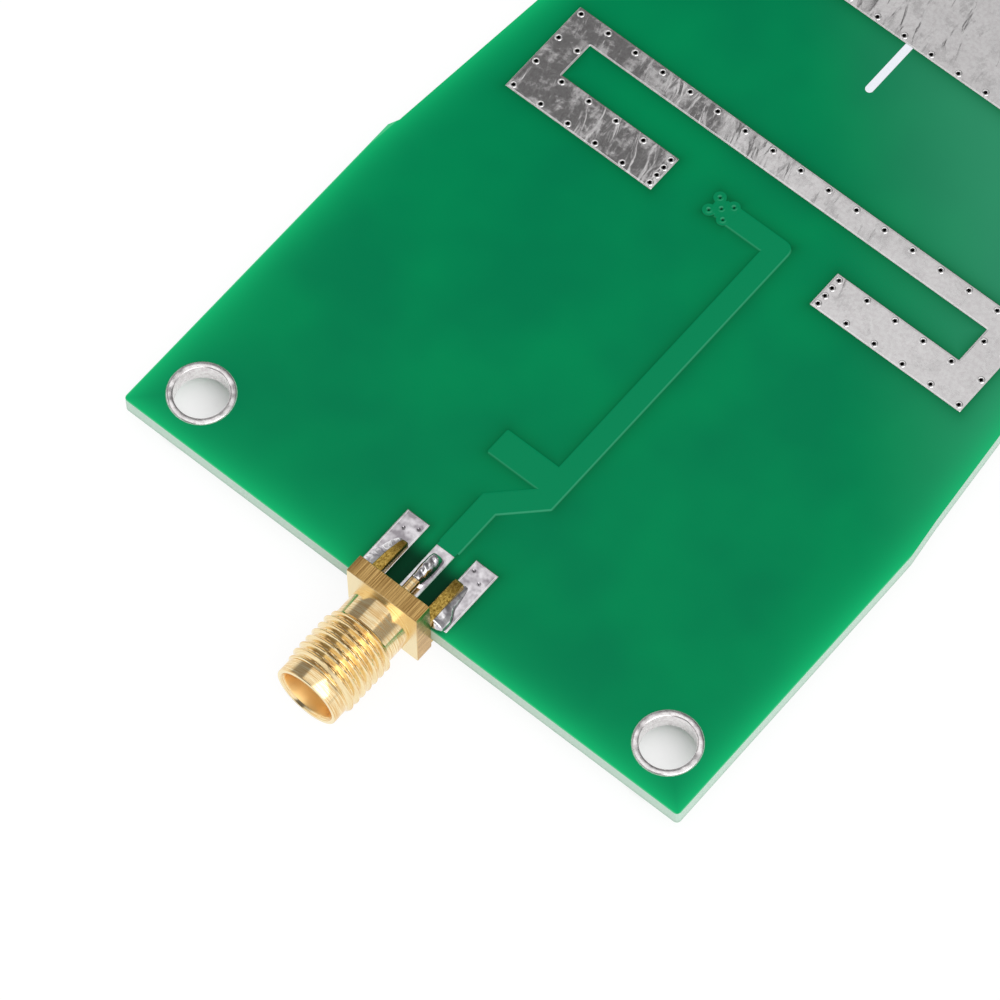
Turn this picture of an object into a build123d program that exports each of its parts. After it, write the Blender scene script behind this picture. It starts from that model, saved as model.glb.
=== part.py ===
from build123d import *
import math
import os

# A folded dipole and its director etched on a two-sided board, fed by an edge-mounted coaxial jack.
# The origin is midway between the two mounting holes, on the lower face of the board.
# X runs across the board, Y away from the jack and Z out of the front face.

# Board outline, with lengths measured from the edge that carries the jack
board_width = 55.0
board_length = 80.0
taper_depth = 4.7
left_side_length = 31.4
left_jog_length = 0.9
right_side_length = 28.0
right_jog_length = 3.5
jog_depth = 0.42
corner_radius = 0.4

# Layers
laminate_thickness = 1.52
foil_thickness = 0.05
mask_thickness = 0.03
window_gap = 0.05
ink_thickness = 0.02

# Mounting holes and their plated linings
hole_side_inset = 4.35
hole_inset = 4.15
hole_radius = 2.2
ring_width = 0.52
ring_clearance = 0.4

# Small plated holes, drawn with a few flats each
barrel_bore = 0.19
barrel_wall = 0.04
barrel_flats = 5
barrel_inset = 0.42
barrel_pitch = 2.8

# Folded dipole
dipole_side_margin = 4.85
dipole_to_director = 13.84
near_arm_width = 3.43
far_arm_width = 2.17
slot_width = 3.56
dipole_end_width = 2.75
dipole_half_gap = 7.98
gap_barrel_pitch = 0.9

# Director plate
director_far_margin = 5.0
director_depth = 12.0
director_side_margin = 9.5

# Feed line and its stub
feed_width = 1.67
feed_start = 0.55
feed_jog_start = 10.95
feed_offset = 3.02
feed_end_drop = 0.44
feed_corner_radius = 0.7
cluster_offset = 2.62
cluster_half = 0.7
cluster_land = 0.5
stub_start = 14.4
stub_width = 2.23
stub_tip = 2.9
bare_feed_end = 5.75

# Copper of the back
ground_edge_gap = 0.6
ground_length = 14.2
balun_outer = 5.7
balun_slot = 0.8

# Ground pads beside the feed
pad_inner = 2.35
pad_outer = 4.45
pad_start = 0.55
pad_end = 6.63
pad_barrels = ((2.75, 5.9), (3.75, 5.3))

# Coaxial jack, a quarter-inch thread of 36 turns to the inch
flange_side = 6.9
flange_thickness = 1.6
relief_diameter = 5.5
relief_length = 2.4
thread_diameter = 6.24
thread_length = 5.15
thread_chamfer = 0.2
lip_diameter = 5.7
lip_length = 1.3
mouth_diameter = 4.6
mouth_depth = 1.9
mouth_chamfer = 0.25
insulator_diameter = 4.1
contact_diameter = 1.27
socket_bore = 0.94
socket_depth = 2.6
socket_slot_width = 0.2
socket_slot_depth = 2.0
pin_diameter = 0.9
pin_length = 4.4
pin_round = 0.2
pin_lift = 0.03
leg_offset = 2.85
leg_width = 0.95
leg_height = 1.0
leg_length = 4.2
leg_chamfer = 0.15

# Solder joints
solder_start = 0.7
solder_height = 0.8
solder_reach_left = 0.45
solder_reach_right = 0.9
solder_reach_end = 0.4
pin_solder_start = 1.9
pin_solder_reach = 0.6
pin_solder_radius = 0.62

# White printed line that points at the director
mark_x = -0.45
mark_width = 0.7
mark_length = 5.4

# Levels, counted from the lower face of the board
back_foil_level = mask_thickness
laminate_level = back_foil_level + foil_thickness
front_level = laminate_level + laminate_thickness
front_foil_level = front_level + foil_thickness
axis_level = front_foil_level + pin_lift + pin_diameter / 2

# Places that follow from the board's width
half_width = board_width / 2
hole_spacing = board_width - 2 * hole_side_inset
dipole_half_span = half_width - dipole_side_margin
director_half_span = half_width - director_side_margin

# Places along the board, from its far end back to the dipole
director_near = board_length - director_far_margin - director_depth
dipole_far = director_near - dipole_to_director
slot_far = dipole_far - far_arm_width
slot_near = slot_far - slot_width
dipole_near = slot_near - near_arm_width
slot_half = dipole_half_span - dipole_end_width
barrel_outer = barrel_bore + barrel_wall
jack_edge = -hole_inset


def along(distance):
    """Y of a place that lies the given distance from the jack's edge."""
    return jack_edge + distance


def box_face(x0, x1, y0, y1):
    """A flat rectangle between two X places and two distances from the jack's edge."""
    middle = Pos((x0 + x1) / 2, along((y0 + y1) / 2))
    return middle * Rectangle(abs(x1 - x0), abs(y1 - y0))


def grown(face, amount):
    """The face with its outline moved outwards and its corners kept sharp."""
    return offset(face, amount=amount, kind=Kind.INTERSECTION)


def layer(face, level, thickness):
    """A sheet of the face's shape, standing on the given level."""
    return extrude(Pos(0, 0, level) * face, amount=thickness)


def spaced(first, last, pitch):
    """Evenly spaced places from first to last, about one pitch apart."""
    steps = max(1, round(abs(last - first) / pitch))
    return [first + (last - first) * i / steps for i in range(steps + 1)]


def prisms(sites, radius):
    """Flat outlines of small holes at the given places."""
    shape = RegularPolygon(radius=radius, side_count=barrel_flats)
    return Sketch() + [Pos(x, along(y)) * shape for x, y in sites]


# Board outline
def board_outline():
    half = half_width
    far = half_width - taper_depth
    corners = [
        (-half, along(0)),
        (half, along(0)),
        (half, along(right_side_length)),
        (half - jog_depth, along(right_side_length + right_jog_length)),
        (far, along(board_length)),
        (-far, along(board_length)),
        (-half + jog_depth, along(left_side_length + left_jog_length)),
        (-half, along(left_side_length)),
    ]
    face = make_face(Polyline(*corners, close=True))
    ends = [v for v in face.vertices() if v.Y < along(1) or v.Y > along(board_length - 1)]
    return fillet(ends, radius=corner_radius)


# Copper shapes
def dipole_face():
    bar = box_face(-dipole_half_span, dipole_half_span, dipole_near, dipole_far)
    slot = box_face(-slot_half, slot_half, slot_near, slot_far)
    gap = box_face(-dipole_half_gap, dipole_half_gap, dipole_near, slot_near)
    return bar - slot - gap


def director_face():
    return box_face(-director_half_span, director_half_span, director_near, director_near + director_depth)


def mitred_strip(path, width):
    """Outline of a strip of even width along straight runs, with mitred corners."""
    sides = []
    for half in (width / 2, -width / 2):
        side = []
        for i, point in enumerate(path):
            before = (point - path[i - 1]).normalized() if i else (path[1] - point).normalized()
            after = (path[i + 1] - point).normalized() if i + 1 < len(path) else before
            across = Vector(-(before + after).Y, (before + after).X).normalized()
            reach = half / across.dot(Vector(-before.Y, before.X))
            side.append(point + across * reach)
        sides.append(side)
    return make_face(Polyline(*sides[0], *reversed(sides[1]), close=True))


def feed_face():
    end_run = slot_near - feed_end_drop - feed_width / 2
    path = [
        Vector(0, along(feed_start)),
        Vector(0, along(feed_jog_start)),
        Vector(feed_offset, along(feed_jog_start + feed_offset)),
        Vector(feed_offset, along(end_run)),
        Vector(-cluster_offset, along(end_run)),
    ]
    strip = mitred_strip(path, feed_width)
    outer = strip.vertices().sort_by(lambda v: v.X + v.Y)[-1]
    strip = fillet(outer, radius=feed_corner_radius)
    stub = box_face(-stub_tip, feed_offset, stub_start, stub_start + stub_width)
    lands = [Pos(x, along(y)) * Circle(cluster_land) for x, y in cluster_sites()]
    return strip + stub + lands


def back_face():
    half = half_width - ground_edge_gap
    plane = box_face(-half, half, ground_edge_gap, ground_length)
    strips = box_face(-balun_outer, balun_outer, ground_length, slot_near)
    arms = box_face(-dipole_half_gap, dipole_half_gap, dipole_near, slot_near)
    slot = box_face(-balun_slot / 2, balun_slot / 2, ground_length, slot_near)
    rings = [Pos(x, 0) * Circle(ring_radius() + ring_clearance) for x in hole_places()]
    return plane + strips + arms + dipole_face() - slot - rings


# Places of the holes
def hole_places():
    return (-hole_spacing / 2, hole_spacing / 2)


def ring_radius():
    return hole_radius + ring_width


def cluster_sites():
    y = slot_near - feed_end_drop - feed_width / 2
    corners = [(i, j) for i in (-1, 1) for j in (-1, 1)]
    spots = [(-cluster_offset + cluster_half * i, y + cluster_half * j) for i, j in corners]
    return spots + [(-cluster_offset, y)]


def dipole_sites():
    side = dipole_half_span - barrel_inset
    near = dipole_near + barrel_inset
    inner = slot_near - barrel_inset
    far = dipole_far - barrel_inset
    gap = dipole_half_gap + barrel_inset
    up_side = spaced(near, far, barrel_pitch)
    out_arm = spaced(gap, side, barrel_pitch)
    sites = [(x, far) for x in spaced(-side, side, barrel_pitch)]
    for s in (-1, 1):
        sites += [(s * side, y) for y in up_side[:-1]]
        sites += [(s * x, y) for x in out_arm[:-1] for y in (near, inner)]
        sites += [(s * gap, y) for y in spaced(near, inner, gap_barrel_pitch)[1:-1]]
        sites.append((s * (slot_half + barrel_inset), up_side[-2]))
    return sites


def director_sites():
    side = director_half_span - barrel_inset
    near = director_near + barrel_inset
    far = director_near + director_depth - barrel_inset
    rows = [(x, y) for x in spaced(-side, side, barrel_pitch) for y in (near, far)]
    ends = [(s * side, y) for s in (-1, 1) for y in spaced(near, far, barrel_pitch)[1:-1]]
    return rows + ends


def pad_sites(side):
    return [(side * x, y) for x, y in pad_barrels]


# Board pieces
def all_sites():
    return dipole_sites() + director_sites() + cluster_sites() + pad_sites(-1) + pad_sites(1)


def laminate():
    linings = [Pos(x, 0) * Circle(hole_radius + foil_thickness) for x in hole_places()]
    face = board_outline() - linings - prisms(all_sites(), barrel_outer)
    return layer(face, laminate_level, laminate_thickness)


def plated_foil(face, sites):
    """A front foil with the plated barrels that run from it through the laminate."""
    foil = layer(face - prisms(sites, barrel_bore), front_level, foil_thickness)
    rings = prisms(sites, barrel_outer) - prisms(sites, barrel_bore)
    return foil + layer(rings, laminate_level, laminate_thickness)


def back_foil(face, sites):
    return layer(face - prisms(sites, barrel_bore), back_foil_level, foil_thickness)


def pad_face(side):
    return box_face(side * pad_inner, side * pad_outer, pad_start, pad_end)


def hole_lining(x):
    """Barrel and two rings, turned about the axis of the mounting hole."""
    lower = back_foil_level
    profile = Polyline(
        (hole_radius, lower),
        (ring_radius(), lower),
        (ring_radius(), laminate_level),
        (hole_radius + foil_thickness, laminate_level),
        (hole_radius + foil_thickness, front_level),
        (ring_radius(), front_level),
        (ring_radius(), front_foil_level),
        (hole_radius, front_foil_level),
        close=True,
    )
    return Pos(x, 0) * revolve(Plane.XZ * make_face(profile), Axis.Z)


def windows(bare):
    """Openings of a mask over bare copper and over the rings of the mounting holes."""
    rings = [Pos(x, 0) * Circle(ring_radius() + window_gap) for x in hole_places()]
    return Sketch() + [grown(face, window_gap) for face in bare] + rings


def mask(copper, bare, sites, level, direction):
    """A mask that lies on the laminate and climbs over the copper that it covers."""
    holes = windows(bare) + prisms(sites, barrel_bore)
    sheet = layer(board_outline(), level, direction * mask_thickness)
    over = layer(grown(copper, mask_thickness), level, direction * (foil_thickness + mask_thickness))
    cut = layer(holes, level, direction * (foil_thickness + mask_thickness))
    return sheet + over - layer(copper, level, direction * foil_thickness) - cut


def front_mask():
    feed_window = box_face(-feed_width / 2, feed_width / 2, feed_start, bare_feed_end)
    bare = [dipole_face(), director_face(), pad_face(-1), pad_face(1), feed_window]
    return mask(feed_face(), bare, cluster_sites(), front_level, 1)


def back_mask():
    bare = [dipole_face(), director_face(), pad_face(-1), pad_face(1)]
    return mask(back_face(), bare, cluster_sites(), laminate_level, -1)


def centre_mark():
    end = director_near - window_gap
    half = mark_width / 2
    line = box_face(mark_x - half, mark_x + half, end - mark_length + half, end)
    tip = Pos(mark_x, along(end - mark_length + half)) * Circle(half)
    return layer(line + tip, front_level + mask_thickness, ink_thickness)


# Coaxial jack
mouth_y = along(0) - flange_thickness - relief_length - thread_length - lip_length
contact_face_y = mouth_y + mouth_depth


def turned(outline, cut=None):
    """A body turned about the jack's axis from a closed half section, less a second one."""
    profile = make_face(outline)
    if cut:
        profile = profile - make_face(cut)
    return Pos(0, 0, axis_level) * revolve(profile, Axis.Y)


def leg(side, level):
    block = Box(leg_width, leg_length, leg_height, align=(Align.CENTER, Align.MIN, Align.MIN))
    block = chamfer(block.faces().sort_by(Axis.Y)[-1].edges(), length=leg_chamfer)
    return Pos(side * leg_offset, along(0), level) * block


def connector_shell():
    flange_front = along(0) - flange_thickness
    thread_back = flange_front - relief_length
    thread_front = thread_back - thread_length
    crest = thread_diameter / 2
    root = crest - thread_chamfer
    barrel = turned(Polyline(
        (insulator_diameter / 2, along(0)),
        (insulator_diameter / 2, contact_face_y),
        (mouth_diameter / 2, contact_face_y),
        (mouth_diameter / 2, mouth_y + mouth_chamfer),
        (mouth_diameter / 2 + mouth_chamfer, mouth_y),
        (lip_diameter / 2, mouth_y),
        (lip_diameter / 2, thread_front),
        (root, thread_front),
        (crest, thread_front + thread_chamfer),
        (crest, thread_back - thread_chamfer),
        (root, thread_back),
        (relief_diameter / 2, thread_back),
        (relief_diameter / 2, along(0)),
        close=True,
    ))
    flange = Box(flange_side, flange_thickness, flange_side, align=(Align.CENTER, Align.MAX, Align.CENTER))
    bore = Rot(90, 0, 0) * Cylinder(insulator_diameter / 2, 2 * flange_thickness)
    body = barrel + Pos(0, along(0), axis_level) * (flange - bore)
    legs = [leg(s, level) for s in (-1, 1) for level in (front_foil_level, back_foil_level - leg_height)]
    return body + legs


def connector_insulator():
    inner = contact_diameter / 2
    outer = insulator_diameter / 2
    corners = [(inner, contact_face_y), (outer, contact_face_y), (outer, along(0)), (inner, along(0))]
    return turned(Polyline(*corners, close=True))


def contact_profile():
    """Half section of the centre contact, as radii and places along Y."""
    rod = contact_diameter / 2
    socket = socket_bore / 2
    pin = pin_diameter / 2
    return Polyline(
        (0, contact_face_y + socket_depth),
        (socket, contact_face_y + socket_depth),
        (socket, contact_face_y),
        (rod, contact_face_y),
        (rod, along(0)),
        (pin, along(0)),
        (pin, along(pin_length - pin_round)),
        (pin - pin_round, along(pin_length)),
        (0, along(pin_length)),
        close=True,
    )


def centre_contact():
    body = turned(contact_profile())
    place = Pos(0, contact_face_y + socket_slot_depth / 2, axis_level)
    slots = [
        place * Box(socket_slot_width, socket_slot_depth, contact_diameter * 1.2),
        place * Box(contact_diameter * 1.2, socket_slot_depth, socket_slot_width),
    ]
    return body - slots


# Solder joints
def leg_solder(side, reach, level, up):
    """A joint that climbs from the pad to the outer side and the end of one leg."""
    inner = leg_offset - leg_width / 2
    outer = leg_offset + leg_width / 2
    steps = ((1.0, 0.0), (0.35, 0.3), (0.08, 1.0))
    sections = []
    for spread, height in steps:
        face = box_face(
            side * inner,
            side * (outer + reach * spread),
            solder_start,
            leg_length + solder_reach_end * spread,
        )
        sections.append(Pos(0, 0, level + up * height * solder_height) * face)
    joint = loft(Sketch() + sections, ruled=True)
    base = level if up > 0 else level - leg_height
    return joint - leg(side, base)


def pin_solder():
    """A bead round the end of the pin, cut off level by the pad."""
    start = along(pin_solder_start)
    end = along(pin_length + pin_solder_reach)
    arc = ThreePointArc((0, start), (pin_solder_radius, (start + end) / 2), (0, end))
    bead = turned(arc + Line((0, end), (0, start)), contact_profile())
    room = Box(board_width, board_length, flange_side, align=(Align.CENTER, Align.CENTER, Align.MIN))
    return bead & Pos(0, 0, front_foil_level) * room


os.makedirs("parts", exist_ok=True)

nodes = {
    "laminate": laminate(),
    "front_mask": front_mask(),
    "back_mask": back_mask(),
    "feed_line": plated_foil(feed_face(), cluster_sites()),
    "front_dipole": plated_foil(dipole_face(), dipole_sites()),
    "front_director": plated_foil(director_face(), director_sites()),
    "ground_pad_left": plated_foil(pad_face(-1), pad_sites(-1)),
    "ground_pad_right": plated_foil(pad_face(1), pad_sites(1)),
    "back_copper": back_foil(back_face(), dipole_sites() + cluster_sites() + pad_sites(-1) + pad_sites(1)),
    "back_director": back_foil(director_face(), director_sites()),
    "hole_lining_left": hole_lining(-hole_spacing / 2),
    "hole_lining_right": hole_lining(hole_spacing / 2),
    "centre_mark": centre_mark(),
    "connector_shell": connector_shell(),
    "connector_insulator": connector_insulator(),
    "centre_contact": centre_contact(),
    "solder_left": leg_solder(-1, solder_reach_left, front_foil_level, 1),
    "solder_right": leg_solder(1, solder_reach_right, front_foil_level, 1),
    "solder_pin": pin_solder(),
    "solder_back_left": leg_solder(-1, solder_reach_left, back_foil_level, -1),
    "solder_back_right": leg_solder(1, solder_reach_left, back_foil_level, -1),
}

for name, shape in nodes.items():
    export_step(shape, f"parts/{name}.step")
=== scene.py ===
import logging
import math
from dataclasses import dataclass
from enum import Enum
from typing import Any, Sequence

import bpy
import numpy as np
from bpy.types import Material, Node, NodeSocket, NodeTree, Object
from mathutils import Matrix, Vector


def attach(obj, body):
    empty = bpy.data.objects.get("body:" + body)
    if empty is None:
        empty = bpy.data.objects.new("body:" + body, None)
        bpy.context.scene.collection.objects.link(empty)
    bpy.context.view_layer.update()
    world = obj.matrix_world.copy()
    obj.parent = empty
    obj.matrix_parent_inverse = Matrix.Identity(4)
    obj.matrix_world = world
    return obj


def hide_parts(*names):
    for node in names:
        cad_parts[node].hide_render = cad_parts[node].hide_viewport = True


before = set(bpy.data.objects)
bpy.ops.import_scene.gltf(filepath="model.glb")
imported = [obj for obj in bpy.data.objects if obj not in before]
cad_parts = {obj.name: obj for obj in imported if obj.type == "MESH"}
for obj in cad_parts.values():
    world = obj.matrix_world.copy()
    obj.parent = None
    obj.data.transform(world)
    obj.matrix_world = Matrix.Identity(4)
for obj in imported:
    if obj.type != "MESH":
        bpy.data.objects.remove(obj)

# Dresses the etched antenna board and its edge jack. Sizes are in millimetres in the part's own
# frame and turned to metres as a mesh is made: X across the board, Y away from the jack, Z out of
# the front face, with the origin midway between the mounting holes on the lower face.
log = logging.getLogger("antenna_board")
MM = 0.001
Inputs = dict[str | int, Any] | tuple[Any, ...]
Box = tuple[float, float, float, float]
Corners = tuple[tuple[float, float], ...]
Section = tuple[np.ndarray, np.ndarray]

# Heights over the lower face, and the board's ends along Y, that several pieces share.
BACK_LEVEL = 0.03
FRONT_LEVEL = 1.65
MIDDLE = 0.84
AXIS_LEVEL = 2.13
NEAR_EDGE = -4.15
FAR_EDGE = 75.85


class Side(Enum):
    """The two faces of the board."""

    FRONT = 1
    BACK = -1


class Gold(Enum):
    """How a gold surface of the jack was worked before plating."""

    TURNED = "turned"
    BRUSHED = "brushed"
    SAWN = "sawn"


def linear(code: str) -> tuple[float, float, float, float]:
    """Turns an sRGB hex colour into linear red, green, blue and alpha.

    Args:
        code: a colour such as "#1ec57f".

    Returns:
        The linear colour, fully opaque.
    """
    raw = np.array([int(code[i : i + 2], 16) for i in (1, 3, 5)]) / 255
    flat = np.where(raw <= 0.04045, raw / 12.92, ((raw + 0.055) / 1.055) ** 2.4)
    return (*(float(c) for c in flat), 1.0)


def fill(node: Node, inputs: Inputs) -> None:
    """Fills a node's inputs with constants or links.

    Args:
        node: the node.
        inputs: values in the order of the sockets, or socket name or number to value. A value is a
            constant, a hex colour, a node (its first output in use) or an output socket.
    """
    for name, value in inputs.items() if isinstance(inputs, dict) else enumerate(inputs):
        if isinstance(value, Node):
            value = next(output for output in value.outputs if output.enabled)
        if isinstance(value, NodeSocket):
            node.id_data.links.new(value, node.inputs[name])
        else:
            node.inputs[name].default_value = linear(value) if isinstance(value, str) else value


def add(tree: NodeTree, kind: str, inputs: Inputs = (), **settings: Any) -> Node:
    """Adds a node, sets its properties, then fills its inputs.

    Args:
        tree: the node tree that gets the node.
        kind: the node's type, without its "ShaderNode" start, and its operation if it has one.
        inputs: what its inputs are filled with.
        **settings: properties of the node.

    Returns:
        The new node.
    """
    kind, _, operation = kind.partition(" ")
    node = tree.nodes.new("ShaderNode" + kind)
    for name, value in (settings | ({"operation": operation} if operation else {})).items():
        setattr(node, name, value)
    fill(node, inputs)
    return node


def grid(*axes: np.ndarray) -> np.ndarray:
    """Spreads arrays over one another and joins them, such as X, Y and Z into points."""
    return np.stack(np.broadcast_arrays(*axes), axis=-1)


def full_turn(count: int) -> np.ndarray:
    """Evenly spaced angles of a full turn, as a column."""
    return np.linspace(0, 2 * np.pi, count, endpoint=False)[:, None]


def smooth(share: np.ndarray) -> np.ndarray:
    """Smooth step: rises from 0 to 1 as the share does, level at both ends."""
    return share**2 * (3 - 2 * share)


def cells(count_u: int, count_v: int, round_u: bool, round_v: bool) -> np.ndarray:
    """Quads between the points of a grid, as numbers of their four points.

    Args:
        count_u: points in the first direction.
        count_v: points in the second direction.
        round_u: whether the first direction closes on itself.
        round_v: whether the second direction closes on itself.

    Returns:
        Array of shape (cells, 4): the points (i, j), (i+1, j), (i+1, j+1) and (i, j+1) of each.
    """
    u = np.arange(count_u if round_u else count_u - 1)[:, None]
    v = np.arange(count_v if round_v else count_v - 1)[None, :]
    next_u, next_v = (u + 1) % count_u, (v + 1) % count_v
    here, there = u * count_v, next_u * count_v
    return grid(here + v, there + v, there + next_v, here + next_v).reshape(-1, 4)


def surface(
    name: str, points: np.ndarray, round_u: bool = False, round_v: bool = False,
    sharp: float = 35.0, facing: int = 0,
) -> Object:
    """Makes a mesh object from a grid of points. Points that meet at a pole or seam are merged.

    Args:
        name: the object's name.
        points: array of shape (u, v, 3) in millimetres.
        round_u: whether the first direction closes on itself.
        round_v: whether the second direction closes on itself.
        sharp: angle in degrees above which an edge is shown sharp.
        facing: for an open sheet, the sign of Z that its faces turn to; 0 for a closed body.

    Returns:
        The object, linked to the scene, with its place in its mesh.
    """
    quads = cells(*points.shape[:2], round_u, round_v)
    return mesh_object(name, points.reshape(-1, 3), quads, sharp, facing)


def mesh_object(
    name: str, points: np.ndarray, faces: np.ndarray, sharp: float = 35.0, facing: int = 0
) -> Object:
    """Puts points and faces of one size into a mesh, merges doubles and turns the faces outwards.

    Args:
        name: the object's name.
        points: array of shape (n, 3) in millimetres.
        faces: array of shape (m, corners) of point numbers.
        sharp: angle in degrees above which an edge is shown sharp.
        facing: for an open sheet, the sign of Z that its faces turn to; 0 for a closed body.

    Returns:
        The object, linked to the scene.
    """
    places = np.round(points, 5)
    merged, index = np.unique(places, axis=0, return_inverse=True)
    corners = index.reshape(-1)[faces]
    clean = [list(dict.fromkeys(face)) for face in corners.tolist()]
    mesh = bpy.data.meshes.new(name)
    mesh.from_pydata((merged * MM).tolist(), [], [face for face in clean if len(face) > 2])
    mesh.validate()
    heart = merged[corners]
    normal = np.cross(heart[:, 2] - heart[:, 0], heart[:, 3 % faces.shape[1]] - heart[:, 1])
    outward = facing * normal[:, 2].sum() if facing else (heart.mean(1) * normal).sum()
    if outward < 0:
        mesh.flip_normals()
    mesh.shade_smooth()
    mesh.set_sharp_from_angle(angle=math.radians(sharp))
    obj = bpy.data.objects.new(name, mesh)
    bpy.context.scene.collection.objects.link(obj)
    return obj


def publish(obj: Object, material: Material, replaced: Sequence[str] = ()) -> None:
    """Gives a finished piece its material and its body, and hides the CAD nodes that it takes the place
    of.

    Args:
        obj: the piece, already in place.
        material: its finish.
        replaced: CAD nodes that the piece takes the place of.
    """
    obj.data.materials.clear()
    obj.data.materials.append(material)
    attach(obj, "root")
    if replaced:
        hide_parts(*replaced)
    log.info("%s: %d points in %s", obj.name, len(obj.data.vertices), material.name)


def dress_node(name: str, material: Material) -> None:
    """Gives a carried-over CAD node its finish in every material slot."""
    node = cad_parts[name]
    if not node.material_slots:
        node.data.materials.append(material)
    for slot in node.material_slots:
        slot.material = material
    log.info("%s wears %s", name, material.name)


@dataclass(frozen=True)
class Finish:
    """What every finish shares: a named material whose shader a subclass fills in."""

    name: str

    def paint(self, tree: NodeTree, shader: Node, place: Node) -> None:
        """Sets the shader's sockets and adds the pattern nodes.

        Args:
            tree: the material's node tree.
            shader: its Principled shader.
            place: a node that gives the position in millimetres.
        """
        raise NotImplementedError

    def material(self) -> Material:
        """Builds the material and returns it."""
        made = bpy.data.materials.new(self.name)
        made.use_nodes = True
        tree = made.node_tree
        shader = tree.nodes["Principled BSDF"]
        at = add(tree, "TexCoord").outputs["Object"]
        place = add(tree, "VectorMath SCALE", {0: at, "Scale": 1 / MM})
        self.paint(tree, shader, place)
        return made


@dataclass(frozen=True)
class SolderMask(Finish):
    """Green solder mask: an epoxy ink, poured as a film, imaged and baked to an even gloss.

    It gives the eye a deep clear green that is paler where it crosses copper, darker in the
    laminate's shade beside copper, and glows within two millimetres of a cut edge, where light comes
    in through the laminate. The gloss has a faint orange peel.
    """

    side: Side = Side.FRONT
    colour: str = "#00834f"
    shade: str = "#00774b"
    over_copper: str = "#068253"
    # Painted highlight on the film's slopes that face the jack.
    painted_slope_highlight: str = "#48a981"
    # Painted shade at the bottom of the film's pits.
    pit: str = "#00331c"
    glow: str = "#16bf74"
    # Painted light along the cut edge.
    rim: str = "#74d8a6"
    beside: str = "#005a30"
    # Painted sheen of reflected light towards the far right corner.
    painted_sheen: str = "#3c9270"
    jack_shade: str = "#002a18"
    half_width: float = 27.5
    far_half_width: float = 22.8
    jog: float = 25.0
    glow_depth: float = 1.25
    glow_share: float = 0.8
    rim_width: float = 0.1
    rim_share: float = 0.38
    shade_depth: float = 0.55
    shade_share: float = 0.75
    jack_reach: float = 2.2
    jack_share: float = 0.9
    sheen_span: tuple[float, float] = (32.0, 51.0)
    sheen_share: float = 0.65
    copper_level: float = 1.655
    pit_level: float = 1.62
    # A box is X and Y of its centre, half its X and half its Y.
    under_jack: Box = (0.0, -2.3, 2.9, 1.9)
    # The copper that lies alike on both sides of the middle line.
    mirrored: tuple[Box, ...] = (
        (15.315, 37.565, 7.335, 1.715),
        (21.275, 40.43, 1.375, 4.58),
        (0.0, 43.925, 22.65, 1.085),
        (0.0, 64.85, 18.0, 6.0),
        (3.4, -0.56, 1.05, 3.04),
    )
    # The feed line's straight runs, its stub and its end, on the front alone.
    single: tuple[Box, ...] = (
        (0.0, 1.45, 0.835, 5.05),
        (3.02, 24.3, 0.835, 14.5),
        (-0.35, 11.365, 2.55, 1.115),
        (0.3, 38.0, 3.55, 0.835),
        (-2.62, 38.0, 1.0, 1.1),
    )

    def beside_copper(self, tree: NodeTree, place: Node, across: Node) -> Node:
        """Distance to the nearest copper, as the least of the distances to the boxes.

        Args:
            tree: the material's node tree.
            place: the position in millimetres.
            across: the absolute value of X.

        Returns:
            A node that gives the distance in millimetres.
        """
        x, y, _ = add(tree, "SeparateXYZ", (place,)).outputs
        folded = add(tree, "CombineXYZ", (across, y))
        straight = add(tree, "CombineXYZ", (x, y))
        least: float | Node = 9.0
        single = self.single if self.side is Side.FRONT else ()
        for boxes, start in ((self.mirrored, folded), (single, straight)):
            for box in boxes:
                least = add(tree, "Math MINIMUM", (self.to_box(tree, start, box), least))
        return least

    def to_box(self, tree: NodeTree, start: Node, box: Box) -> Node:
        """Distance from a level position to a box: the length of what is left of the offset."""
        x, y, half_x, half_y = box
        offset = add(tree, "VectorMath SUBTRACT", (start, (x, y, 0)))
        size = add(tree, "VectorMath ABSOLUTE", (offset,))
        left = add(tree, "VectorMath SUBTRACT", (size, (half_x, half_y, 0)))
        out = add(tree, "VectorMath MAXIMUM", (left, (0, 0, 0)))
        return add(tree, "VectorMath LENGTH", (out,))

    def paint(self, tree: NodeTree, shader: Node, place: Node) -> None:
        """Fills in the mask: coats of colour by distance to edge, copper and jack, then the gloss."""
        x, y, z = add(tree, "SeparateXYZ", (place,)).outputs
        across = add(tree, "Math ABSOLUTE", (x,))
        # Half width of the board at this Y: full up to the jog, then tapering to the far end.
        taper = add(tree, "MapRange", (y, self.jog, FAR_EDGE, self.half_width, self.far_half_width))
        side_gap = add(tree, "Math SUBTRACT", (taper, across))
        near_gap = add(tree, "Math SUBTRACT", (y, NEAR_EDGE))
        gap = add(tree, "Math MINIMUM", (side_gap, near_gap))
        fall = add(tree, "Math MULTIPLY", (gap, -1 / self.glow_depth))
        glow = add(tree, "Math EXPONENT", (fall,), use_clamp=True)
        glowing = add(tree, "Math MULTIPLY", (glow, self.glow_share))
        # Painted light: a paler line within rim_width of the cut edge, brightest at the edge itself.
        rim = add(tree, "MapRange", (gap, self.rim_width, self.rim_width * 0.4, 0.0, self.rim_share))
        # Copper lies below where the film stands higher; the film is thinner and paler there.
        raised = add(tree, "Math GREATER_THAN", (z, self.copper_level))
        copper_gap = self.beside_copper(tree, place, across)
        fade = add(tree, "Math MULTIPLY", (copper_gap, -1 / self.shade_depth))
        near = add(tree, "Math EXPONENT", (fade,))
        shaded = add(tree, "Math MULTIPLY", (near, self.shade_share))
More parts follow.
